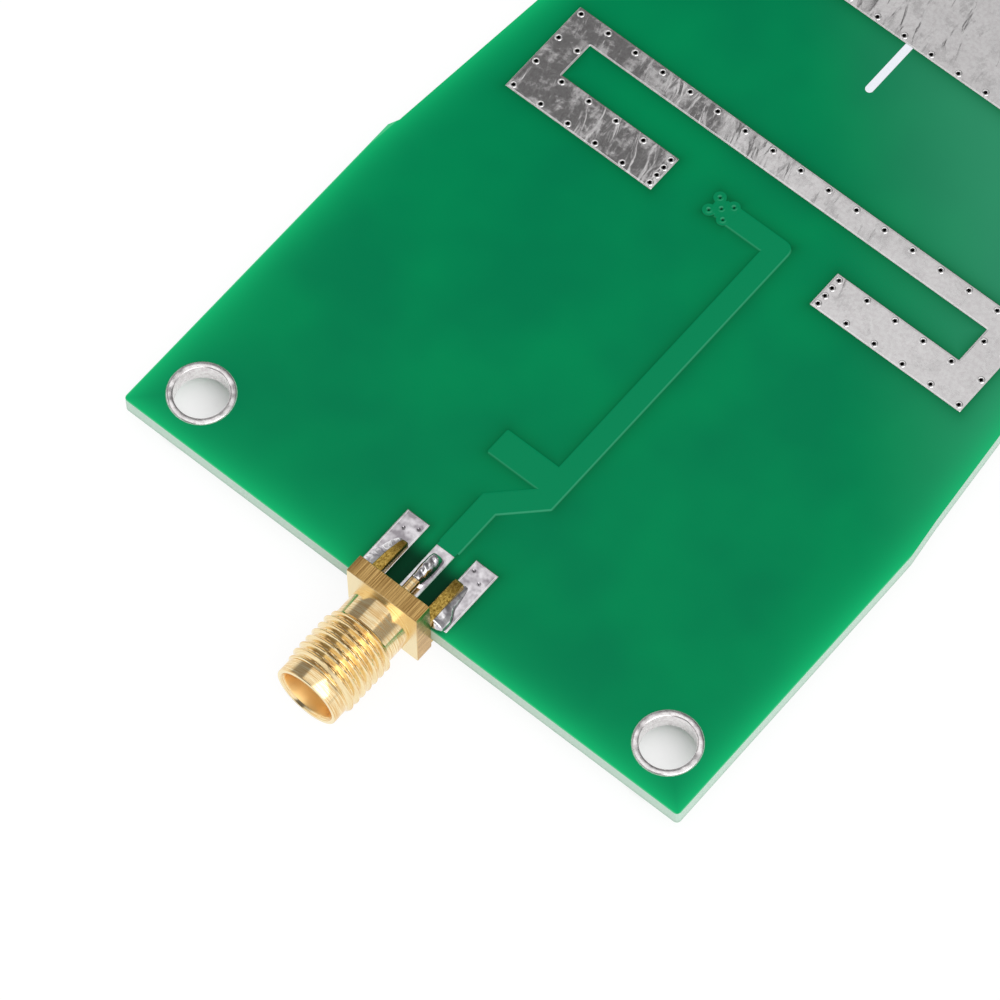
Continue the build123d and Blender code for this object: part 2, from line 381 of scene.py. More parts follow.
        # The jack keeps the light off the film below it, and the edge's glow with it.
        flat = add(tree, "VectorMath MULTIPLY", (place, (1, 1, 0)))
        jack_gap = self.to_box(tree, flat, self.under_jack)
        reach = (jack_gap, self.jack_reach, 0.0, 0.0, self.jack_share)
        sheltered = add(tree, "MapRange", reach, interpolation_type="SMOOTHSTEP")
        open_share = add(tree, "Math MULTIPLY_ADD", (sheltered, -1.1, 1.0))
        glow_open = add(tree, "Math MULTIPLY", (glowing, open_share))
        # Cloudy depth of colour, about 9 mm across.
        cloud = add(tree, "TexNoise", {"Vector": place, "Scale": 0.11, "Detail": 2.0, "Roughness": 0.5})
        depth = add(tree, "MapRange", (cloud, 0.35, 0.65, 0.0, 0.9))
        # Painted sheen: towards the far right corner the film turns paler and greyer, standing in for
        # reflected light.
        corner = add(tree, "VectorMath DOT_PRODUCT", (place, (0.707, 0.707, 0)))
        run = (corner, *self.sheen_span, 0.0, self.sheen_share)
        sheen_mix = add(tree, "MapRange", run, interpolation_type="SMOOTHSTEP")
        # Painted highlight: the film turns paler where it slopes down a copper edge that faces the jack,
        # for the light that such a slope catches.
        turn = add(tree, "TexCoord").outputs["Normal"]
        slope = add(tree, "VectorMath DOT_PRODUCT", (turn, (0.8, -0.6, 0)))
        facing = add(tree, "MapRange", (slope, 0.05, 0.3, 0.0, 0.5))
        # Painted shade: below pit_level, at the bottom of the pits over the covered holes, the film
        # turns dark.
        sunk = add(tree, "MapRange", (z, self.pit_level, self.pit_level - 0.03))
        coats = (
            (depth, self.shade), (sheen_mix, self.painted_sheen), (shaded, self.beside),
            (sheltered, self.jack_shade), (raised, self.over_copper), (facing, self.painted_slope_highlight),
            (sunk, self.pit), (glow_open, self.glow), (rim, self.rim),
        )
        tone: str | Node = self.colour
        for share, coat in coats:
            tone = add(tree, "Mix", {0: share, 6: tone, 7: coat}, data_type="RGBA")
        # Orange peel of the baked film, about 0.8 mm across and a micrometre deep.
        peel = add(tree, "TexNoise", {"Vector": place, "Scale": 1.2, "Detail": 3.0, "Roughness": 0.6})
        bump = add(tree, "Bump", {"Strength": 0.25, "Distance": 0.004 * MM, "Height": peel})
        gloss = {"Roughness": 0.12, "IOR": 1.5, "Specular IOR Level": 0.05}
        fill(shader, {"Base Color": tone, "Normal": bump, **gloss})


@dataclass(frozen=True)
class Laminate(Finish):
    """Glass-epoxy laminate: woven glass in resin, pressed in sheets and routed at the edge.

    It gives the eye a pale grey-green, slightly clear edge with thin layers of glass cloth.
    """

    resin: str = "#b3d9c4"
    glass: str = "#cfdcd2"
    low: str = "#9fb3a6"
    layer: float = 0.19
    uneven: float = 0.12

    def paint(self, tree: NodeTree, shader: Node, place: Node) -> None:
        """Fills in the layers of cloth, broken up along the edge, and a darker, greyer tone towards the
        lower face.
        """
        stretch = add(tree, "Mapping", {0: place, "Scale": (0.9, 0.9, 8.0)})
        broken = add(tree, "TexNoise", {"Vector": stretch, "Scale": 1.0, "Detail": 3.0})
        level = add(tree, "SeparateXYZ", (place,)).outputs["Z"]
        shift = add(tree, "Math MULTIPLY_ADD", (broken, self.uneven, level))
        turns = add(tree, "Math MULTIPLY", (shift, 2 * math.pi / self.layer))
        wave = add(tree, "Math SINE", (turns,))
        share = add(tree, "MapRange", (wave, -1.0, 1.0, 0.1, 0.8))
        cloth = add(tree, "Mix", {0: share, 6: self.resin, 7: self.glass}, data_type="RGBA")
        foot = add(tree, "MapRange", (level, 0.5, 0.1, 0.0, 0.55))
        mixed = add(tree, "Mix", {0: foot, 6: cloth, 7: self.low}, data_type="RGBA")
        bump = add(tree, "Bump", {"Strength": 0.4, "Distance": 0.01 * MM, "Height": wave})
        fill(shader, {"Base Color": mixed, "Normal": bump, "Roughness": 0.55, "IOR": 1.5})


@dataclass(frozen=True)
class TinnedCopper(Finish):
    """Copper tinned in hot solder and levelled with hot air.

    It gives the eye a nearly flat grey mirror, a few micrometres out of true where the air dragged
    the solder, so that it marbles wherever the edge of a bright reflection falls on it.
    """

    light: str = "#f2f0f0"
    dark: str = "#e8e4e5"
    # Painted shade: the near black that the walls of the small holes take.
    inside: str = "#1d1a19"
    foil_height: float = 0.76
    drag_angle: float = 108.0
    drag_length: float = 2.6
    drag_width: float = 1.0
    wave_height: float = 0.0098
    roughness: float = 0.05
    frost: float = 0.13
    pool_scale: float = 0.35
    pool_share: float = 2.0
    grain_scale: float = 3.0
    grain_height: float = 0.0004

    def paint(self, tree: NodeTree, shader: Node, place: Node) -> None:
        """Fills in the drag marks, a fine grain, and a painted shade, near black, inside the small
        holes.
        """
        turn, size = (0, 0, math.radians(self.drag_angle)), (self.drag_length, self.drag_width, 1.0)
        along = add(tree, "Mapping", {0: place, "Rotation": turn, "Scale": size}, vector_type="TEXTURE")
        dragged = {"Scale": 1.0, "Detail": 2.5, "Roughness": 0.42, "Distortion": 0.7}
        drag = add(tree, "TexNoise", {"Vector": along, **dragged})
        pool = add(tree, "TexNoise", {"Vector": place, "Scale": self.pool_scale, "Detail": 0.0})
        height = add(tree, "Math MULTIPLY_ADD", (pool, self.pool_share, drag))
        fine = {"Scale": self.grain_scale, "Detail": 2.0, "Roughness": 0.6}
        grain = add(tree, "TexNoise", {"Vector": place, **fine})
        share = add(tree, "MapRange", (grain, 0.35, 0.6))
        tone = add(tree, "Mix", {0: share, 6: self.dark, 7: self.light}, data_type="RGBA")
        # Where the solder froze before the air smoothed it, patches about 1 mm across are frosted.
        patchy = {"Scale": 0.9, "Detail": 5.0, "Roughness": 0.65}
        frost = add(tree, "TexNoise", {"Vector": place, **patchy})
        frosted = self.roughness + self.frost
        rough = add(tree, "MapRange", (frost, 0.48, 0.66, self.roughness, frosted))
        level = add(tree, "SeparateXYZ", (place,)).outputs["Z"]
        # Between the foils, less than foil_height from the middle, there are only hole walls; these take
        # the inside colour, a painted shade for the depth of the holes.
        rise = add(tree, "Math SUBTRACT", (level, MIDDLE))
        height_off = add(tree, "Math ABSOLUTE", (rise,))
        deep = add(tree, "MapRange", (height_off, self.foil_height, self.foil_height - 0.1))
        inner = add(tree, "Mix", {0: deep, 6: tone, 7: self.inside}, data_type="RGBA")
        wavy = {"Strength": 1.0, "Distance": self.wave_height * MM, "Height": height}
        waves = add(tree, "Bump", wavy)
        grainy = {"Strength": 1.0, "Distance": self.grain_height * MM, "Height": grain}
        bump = add(tree, "Bump", {"Normal": waves, **grainy})
        fill(shader, {"Base Color": inner, "Normal": bump, "Roughness": rough, "Metallic": 1.0})


@dataclass(frozen=True)
class Solder(Finish):
    """Tin-lead solder that set from the melt on the pads and legs.

    It gives the eye a bright, nearly mirror-like grey metal with wrinkles where it froze.
    """

    light: str = "#faf8fa"
    dark: str = "#c9c5cb"
    wrinkle: float = 0.55
    depth: float = 0.018

    def paint(self, tree: NodeTree, shader: Node, place: Node) -> None:
        """Fills in the frozen wrinkles and dull flux-marked patches."""
        wrinkled = {"Scale": 1 / self.wrinkle, "Detail": 1.0, "Distortion": 0.8}
        folds = add(tree, "TexNoise", {"Vector": place, **wrinkled})
        share = add(tree, "MapRange", (folds, 0.38, 0.6))
        tone = add(tree, "Mix", {0: share, 6: self.dark, 7: self.light}, data_type="RGBA")
        rough = add(tree, "MapRange", (share, 0.0, 1.0, 0.22, 0.12))
        bump = add(tree, "Bump", {"Strength": 1.0, "Distance": self.depth * MM, "Height": folds})
        fill(shader, {"Base Color": tone, "Normal": bump, "Roughness": rough, "Metallic": 1.0})


@dataclass(frozen=True)
class GoldPlate(Finish):
    """Gold plated on machined brass.

    It gives the eye a warm pale yellow metal that keeps the tool marks below it: fine rings where it
    was turned, straight lines where it was brushed, and a speckled grain where it was sawn. Deep in
    the jack's mouth the plating is matt, and a painted light turns it redder there, for the light
    that bounces round inside the gold.
    """

    work: Gold = Gold.TURNED
    light: str = "#fbe9bd"
    dark: str = "#e4b97a"
    face: str = "#f6e4b6"
    mouth: str = "#fad594"
    line_width: float = 0.08
    roughness: float = 0.11
    depth: float = 0.0016
    mouth_radius: float = 2.34
    mouth_start: float = -12.0
    matt: float = 0.42

    def paint(self, tree: NodeTree, shader: Node, place: Node) -> None:
        """Fills in the tool marks that the surface's working left, and the matt mouth with its painted
        redder light.
        """
        pitch = 1 / self.line_width
        stretch = {
            Gold.TURNED: (0.5, pitch, 0.5),
            Gold.BRUSHED: (pitch, 0.15, pitch),
            Gold.SAWN: (6.0, 4.0, 6.0),
        }[self.work]
        marks = add(tree, "Mapping", {0: place, "Scale": stretch})
        lines = add(tree, "TexNoise", {"Vector": marks, "Scale": 1.0, "Detail": 3.0, "Roughness": 0.7})
        share = add(tree, "MapRange", (lines, 0.38, 0.6))
        tone = add(tree, "Mix", {0: share, 6: self.dark, 7: self.light}, data_type="RGBA")
        rough = add(tree, "MapRange", {0: share, 3: self.roughness * 1.6, 4: self.roughness})
        # Faces that point towards -Y take a paler tone, without the tool marks' darker shades.
        turn = add(tree, "SeparateXYZ", (add(tree, "TexCoord").outputs["Normal"],)).outputs["Y"]
        front_facing = add(tree, "MapRange", (turn, -0.6, -0.9))
        tone = add(tree, "Mix", {0: front_facing, 6: tone, 7: self.face}, data_type="RGBA")
        # Painted light: deep in the mouth the tone turns redder, for light bouncing round inside the
        # gold; the plating there is also matt.
        from_axis = add(tree, "VectorMath SUBTRACT", (place, (0, 0, AXIS_LEVEL)))
        flat = add(tree, "VectorMath MULTIPLY", (from_axis, (1, 0, 1)))
        radius = add(tree, "VectorMath LENGTH", (flat,))
        narrow = add(tree, "Math LESS_THAN", (radius, self.mouth_radius))
        front = add(tree, "SeparateXYZ", (place,)).outputs["Y"]
        ahead = add(tree, "Math LESS_THAN", (front, self.mouth_start))
        inside = add(tree, "Math MULTIPLY", (narrow, ahead))
        both = add(tree, "Mix", {0: inside, 6: tone, 7: self.mouth}, data_type="RGBA")
        matt = add(tree, "Mix", {0: inside, 2: rough, 3: self.matt})
        bump = add(tree, "Bump", {"Strength": 0.6, "Distance": self.depth * MM, "Height": lines})
        fill(shader, {"Base Color": both, "Normal": bump, "Roughness": matt, "Metallic": 1.0})


@dataclass(frozen=True)
class Matt(Finish):
    """A plain matt body or film, with the faint grain that the way it was made left on it."""

    dark: str
    light: str
    scale: float
    detail: float
    strength: float
    depth: float
    roughness: float
    ior: float

    def paint(self, tree: NodeTree, shader: Node, place: Node) -> None:
        """Fills in the two tones and the grain."""
        grain = add(tree, "TexNoise", {"Vector": place, "Scale": self.scale, "Detail": self.detail})
        tone = add(tree, "Mix", {0: grain, 6: self.dark, 7: self.light}, data_type="RGBA")
        relief = {"Strength": self.strength, "Distance": self.depth * MM, "Height": grain}
        bump = add(tree, "Bump", relief)
        fill(shader, {"Base Color": tone, "Normal": bump, "Roughness": self.roughness, "IOR": self.ior})


def spaced(first: float, last: float, pitch: float) -> np.ndarray:
    """Evenly spaced places from first to last, about one pitch apart."""
    return np.linspace(first, last, max(1, round(abs(last - first) / pitch)) + 1)


@dataclass
class Copper:
    """Sizes of the etched copper and the places of its small plated holes."""

    span: float = 22.65
    near: float = 40.0
    slot_near: float = 43.43
    slot_far: float = 46.99
    far: float = 49.16
    end_width: float = 2.75
    gap: float = 7.98
    inset: float = 0.42
    pitch: float = 2.8
    gap_pitch: float = 0.9
    director_span: float = 18.0
    director_near: float = 63.0
    director_far: float = 75.0
    cluster_x: float = -2.62
    cluster_y: float = 42.155
    cluster_half: float = 0.7
    pad_holes: Corners = ((2.75, 5.9), (3.75, 5.3))

    def dipole_holes(self) -> np.ndarray:
        """Places of the holes round the folded dipole, as an array of X and distance from the edge."""
        side, near, inner = self.span - self.inset, self.near + self.inset, self.slot_near - self.inset
        far, gap = self.far - self.inset, self.gap + self.inset
        up, arm = spaced(near, far, self.pitch), spaced(gap, side, self.pitch)
        cross = spaced(near, inner, self.gap_pitch)[1:-1]
        half = [
            np.column_stack([np.full(len(up) - 1, side), up[:-1]]),
            np.column_stack([arm[:-1], np.full(len(arm) - 1, near)]),
            np.column_stack([arm[:-1], np.full(len(arm) - 1, inner)]),
            np.column_stack([np.full(len(cross), gap), cross]),
            np.array([[self.span - self.end_width + self.inset, up[-2]]]),
        ]
        right = np.vstack(half)
        top = spaced(-side, side, self.pitch)
        return np.vstack([right, right * (-1, 1), np.column_stack([top, np.full(len(top), far)])])

    def director_holes(self) -> np.ndarray:
        """Places of the holes round the director plate."""
        side = self.director_span - self.inset
        near, far = self.director_near + self.inset, self.director_far - self.inset
        row, end = spaced(-side, side, self.pitch), spaced(near, far, self.pitch)[1:-1]
        rows = [np.column_stack([row, np.full(len(row), y)]) for y in (near, far)]
        ends = [np.column_stack([np.full(len(end), x), end]) for x in (-side, side)]
        return np.vstack(rows + ends)

    def cluster_holes(self) -> np.ndarray:
        """Places of the five holes at the end of the feed line."""
        offsets = np.array([[0, 0], [1, 1], [1, -1], [-1, 1], [-1, -1]]) * self.cluster_half
        return offsets + (self.cluster_x, self.cluster_y)

    def pad_places(self) -> np.ndarray:
        """Places of the holes in the two ground pads."""
        right = np.array(self.pad_holes)
        return np.vstack([right, right * (-1, 1)])


@dataclass
class HoleLips:
    """Rounded rims that the solder leaves round the small plated holes, and plugs in the pads' holes."""

    copper: Copper
    bore: float = 0.17
    reach: float = 0.16
    rise: float = 0.04
    tuck: float = 0.1
    sunk: float = 0.004
    plug: float = 0.24
    proud: float = 0.002
    dip: float = 0.06
    dip_width: float = 0.38
    around: int = 16
    section: int = 6

    def rim(self) -> Section:
        """Section of a rim: half an ellipse over the hole's edge, with its inner foot down the bore."""
        s = np.linspace(0, np.pi, self.section)
        radius = self.bore + self.reach * (1 - np.cos(s)) / 2
        height = self.rise * np.sin(s)
        height[[0, -1]] -= (self.tuck, self.sunk)
        return radius, height

    def filled(self) -> Section:
        """Section of a plug: a bell-shaped hollow in a flat disc."""
        t = np.linspace(0, 1, self.section)
        return self.plug * t, self.proud - self.dip * np.exp(-((t / self.dip_width) ** 2))

    def points(
        self, sites: np.ndarray, section: Section, level: float, up: int
    ) -> tuple[np.ndarray, np.ndarray]:
        """Turns a section about every hole's axis: radius times cosine and sine, height over level.

        Args:
            sites: X and distance from the jack's edge of each hole.
            section: radius and height of the section's points.
            level: the height of the foil's face.
            up: 1 for the front and -1 for the back.

        Returns:
            The points and the quads of all the rings.
        """
        a = full_turn(self.around)
        radius, height = section
        ring = grid(radius * np.cos(a), radius * np.sin(a), level + up * height)
        places = np.column_stack([sites + (0, NEAR_EDGE), np.zeros(len(sites))])
        points = (ring[None] + places[:, None, None]).reshape(-1, 3)
        shift = np.arange(len(sites))[:, None, None] * (self.around * self.section)
        return points, (cells(self.around, self.section, True, False)[None] + shift).reshape(-1, 4)

    def build(self, bright: Material, mottled: Material) -> None:
        """Makes the rims and the plugs of the front and of the back."""
        bare = np.vstack([self.copper.dipole_holes(), self.copper.director_holes()])
        for side, level in ((Side.FRONT, FRONT_LEVEL), (Side.BACK, BACK_LEVEL)):
            for word, sites, section, finish in (
                ("hole_rims", bare, self.rim(), bright),
                ("pad_plugs", self.copper.pad_places(), self.filled(), mottled),
            ):
                points, quads = self.points(sites, section, level, side.value)
                obj = mesh_object(f"{word}_{side.name.lower()}", points, quads, 60, side.value)
                publish(obj, finish)


def edge_line(
    corners: Sequence[tuple[float, float]], radius: float | Sequence[float], closed: bool
) -> np.ndarray:
    """Line through corners in the board's plane, each corner turned into a short curve.

    A curve is a parabola from one radius before its corner to one radius after it; the outward
    direction at each of its points is the way along the line, turned a quarter to the right.

    Args:
        corners: X and Y of the corners, with the copper on the left of the line.
        radius: how far before and after a corner its curve reaches, one for all or one for each.
        closed: whether the last corner joins the first.

    Returns:
        Array of shape (points, 4): X, Y and the outward direction.
    """
    at = np.array(corners, float)
    into, out = at - np.roll(at, 1, axis=0), np.roll(at, -1, axis=0) - at
    reach = np.array(np.broadcast_to(radius, len(at)), float)[:, None]
    if not closed:
        into[0], out[-1] = out[0], into[-1]
        reach[[0, -1]] = 0
    into /= np.linalg.norm(into, axis=1, keepdims=True)
    out /= np.linalg.norm(out, axis=1, keepdims=True)
    s = np.linspace(0, 1, 7)[None, :, None]
    first, last = (at - into * reach)[:, None], (at + out * reach)[:, None]
    line = (1 - s) ** 2 * first + 2 * s * (1 - s) * at[:, None] + s**2 * last
    way = (1 - s) * into[:, None] + s * out[:, None]
    way /= np.linalg.norm(way, axis=-1, keepdims=True)
    return np.concatenate([line, way[..., 1:], -way[..., :1]], axis=-1).reshape(-1, 4)


def mirrored(corners: Sequence[tuple[float, float]]) -> list[tuple[float, float]]:
    """The same corners on the other side of the middle line, in the other order."""
    return [(-x, y) for x, y in reversed(corners)]


@dataclass
class CopperEdges:
    """Beads of solder along bare copper edges, and the mask's shoulders along covered ones."""

    copper: Copper
    bead_start: float = 0.1
    bead_width: float = 0.145
    bead_height: float = 0.022
    bead_foot: float = 1.6295
    tuck: float = 0.03
    tuck_level: float = 1.679
    step_start: float = 0.02
    step_width: float = 0.2
    step_height: float = 0.051
    step_top: float = 1.6815
    pad: Corners = ((2.35, -3.6), (4.45, -3.6), (4.45, 2.48), (2.35, 2.48))
    feed_right: Corners = (
        (0.835, 2.0), (0.835, 6.454), (3.855, 9.474), (3.855, 38.84), (-1.7, 38.84),
    )
    feed_left: Corners = (
        (-1.7, 37.17), (2.185, 37.17), (2.185, 12.48), (-2.9, 12.48), (-2.9, 10.25), (2.185, 10.25),
        (2.185, 10.166), (-0.835, 7.146), (-0.835, 2.0),
    )
    ground: Corners = (
        (-5.7, 35.85), (-5.7, 10.05), (-26.9, 10.05), (-26.9, -3.55), (26.9, -3.55), (26.9, 10.05),
        (5.7, 10.05), (5.7, 35.85),
    )
    balun: Corners = ((0.4, 39.28), (0.4, 10.05), (-0.4, 10.05), (-0.4, 39.28))

    def outlines(self) -> dict[str, list[tuple[float, float]]]:
        """Corners of the bare copper: the dipole round its slot, the director and both pads."""
        c, edge = self.copper, NEAR_EDGE
        inner = c.span - c.end_width
        outer = [(c.gap, c.near + edge), (c.span, c.near + edge), (c.span, c.far + edge)]
        slot = [(inner, c.slot_far + edge), (inner, c.slot_near + edge), (c.gap, c.slot_near + edge)]
        plate = [(c.director_span, c.director_near + edge), (c.director_span, c.director_far + edge)]
        return {
            "dipole": outer + mirrored(outer) + mirrored(slot) + slot,
            "director": mirrored(plate)[1:] + plate + mirrored(plate)[:1],
            "pad_right": list(self.pad),
            "pad_left": mirrored(self.pad),
        }

    def bead(self) -> Section:
        """Section of a bead: a quarter ellipse that falls from the foil to the mask."""
        s = np.linspace(0, np.pi / 2, 6)
        height = self.bead_foot - MIDDLE + self.bead_height * np.cos(s)
        return self.bead_width * np.sin(s) - self.bead_start, height

    def shoulder(self) -> Section:
        """Section of a shoulder: tucked under the film, then falling by a smooth step."""
        s = np.linspace(0, 1, 8)
        out = np.append(-self.tuck, self.step_start + self.step_width * s)
        return out, np.append(self.tuck_level, self.step_top - self.step_height * smooth(s)) - MIDDLE

    def strip(self, name: str, line: np.ndarray, section: Section, closed: bool, side: Side) -> Object:
        """Carries a section along a line, upright over the board's middle or hanging under it."""
        out, height = section
        x = line[:, :1] + line[:, 2:3] * out
        y = line[:, 1:2] + line[:, 3:4] * out
        points = grid(x, y, MIDDLE + side.value * height)
        return surface(f"{name}_{side.name.lower()}", points, closed, False, 70, side.value)

    def build(self, tin: Material, green: Material, back: Material) -> None:
        """Makes the beads of both sides, and the shoulders of the feed line and of the ground."""
        for word, corners in self.outlines().items():
            for side, slot in ((Side.FRONT, "front_tin"), (Side.BACK, "back_tin")):
                line = edge_line(corners, 0.12, True)
                publish(self.strip(f"edge_{word}", line, self.bead(), True, side), tin)
        shoulders = (
            ("feed_right", self.feed_right, (0, 0.03, 0.03, 0.78, 0), Side.FRONT, "front_mask"),
            ("feed_left", self.feed_left, 0.03, Side.FRONT, "front_mask"),
            ("ground", self.ground, 0.1, Side.BACK, "back_mask"),
            ("balun", self.balun, 0.1, Side.BACK, "back_mask"),
        )
        for word, corners, radius, side, slot in shoulders:
            line = edge_line(corners, radius, False)
            film = green if side is Side.FRONT else back
            publish(self.strip(f"shoulder_{word}", line, self.shoulder(), False, side), film)


@dataclass
class FeedEnd:
    """The mask's film over the feed line's end, with its five covered holes."""

    copper: Copper
    land: float = 0.43
    middle: float = 0.74
    half_line: float = 0.835
    reach: float = 1.32
    sharpness: float = 14.0
    slope: float = 0.2
    low: float = 1.629
    rise: float = 0.055
    ring: tuple[float, float, float] = (0.03, 0.21, 0.07)
    pit: tuple[float, float] = (0.12, 0.12)

    def build(self, green: Material) -> None:
        """Makes the film as a height over a square grid.

        The distance to the copper is a soft minimum of the distances to five round lands, to a
        square between them and to the end of the line. The film falls by a smooth step across it.
        Each hole adds a bell-shaped ring, of a height, a radius and a width, round a bell-shaped
        pit, of a depth and a radius.
        """
        centre = np.array([self.copper.cluster_x, self.copper.cluster_y + NEAR_EDGE])
        axis = np.linspace(-self.reach, self.reach, 93)
        x, y = np.meshgrid(axis, axis, indexing="ij")
        sites = self.copper.cluster_holes() + (0, NEAR_EDGE) - centre
        from_hole = np.hypot(x[..., None] - sites[:, 0], y[..., None] - sites[:, 1])
        square = np.maximum(abs(x), abs(y)) - self.middle
        line = np.maximum(abs(y) - self.half_line, -x)
        far = np.concatenate([from_hole - self.land, square[..., None], line[..., None]], axis=-1)
        gap = -np.log(np.exp(-self.sharpness * far).sum(-1)) / self.sharpness
        s = np.clip(0.5 - gap / self.slope, 0, 1)
        (height, radius, width), (depth, hollow) = self.ring, self.pit
        rings = height * np.exp(-(((from_hole - radius) / width) ** 2))
        pits = depth * np.exp(-((from_hole / hollow) ** 2))
        z = self.low + self.rise * smooth(s) + (rings - pits).sum(-1)
        points = grid(x + centre[0], y + centre[1], z)
        publish(surface("feed_end_film", points, facing=1), green)


@dataclass
class MountingEyelets:
    """Plated linings of the two mounting holes, with their rings crowned by the solder."""

    x: float = 23.15
    bore: float = 2.2
    ring: float = 2.72
    foil: float = 0.05
    crown: float = 0.085
    # Waves of the crown: size, number round the ring, and lag in turns of X.
    waves: tuple[tuple[float, int, float], ...] = ((0.2, 3, 1.0), (0.15, 7, 2.0), (0.07, 17, 0.0))
    around: int = 144

    def section(self) -> np.ndarray:
        """Half section as a closed line of radius and height.

        Each ring is an arch from the bore's rounded lip to the foil's edge: the way across follows
        a cosine, and the height over the foil is the crown times the sine to the power 0.7.
        """
        t = np.linspace(0, np.pi, 15)
        mid, half = (self.bore + self.ring) / 2, (self.ring - self.bore) / 2
        arch = np.column_stack([mid - half * np.cos(t), self.crown * np.sin(t) ** 0.7])
        top = arch + (0, FRONT_LEVEL)
        low = arch[::-1] * (1, -1) + (0, BACK_LEVEL)
        wall, high, deep = self.bore + self.foil, FRONT_LEVEL - self.foil, BACK_LEVEL + self.foil
        outer = np.array([[self.ring, high], [wall, high], [wall, deep], [self.ring, deep]])
        return np.vstack([top, outer, low])

    def build(self, finish: Material) -> None:
        """Carries the section round each hole's axis."""
        a = full_turn(self.around)
        r, z = self.section().T
        proud = np.maximum(z - FRONT_LEVEL, 0) + np.minimum(z - BACK_LEVEL, 0)
        for side, x in (("left", -self.x), ("right", self.x)):
            swell = sum(size * np.sin(count * a + lag * x) for size, count, lag in self.waves)
            ring = grid(x + r * np.cos(a), r * np.sin(a), z + proud * swell)
            obj = surface(f"eyelet_{side}", ring, round_u=True, round_v=True, sharp=50)
            publish(obj, finish, [f"hole_lining_{side}"])


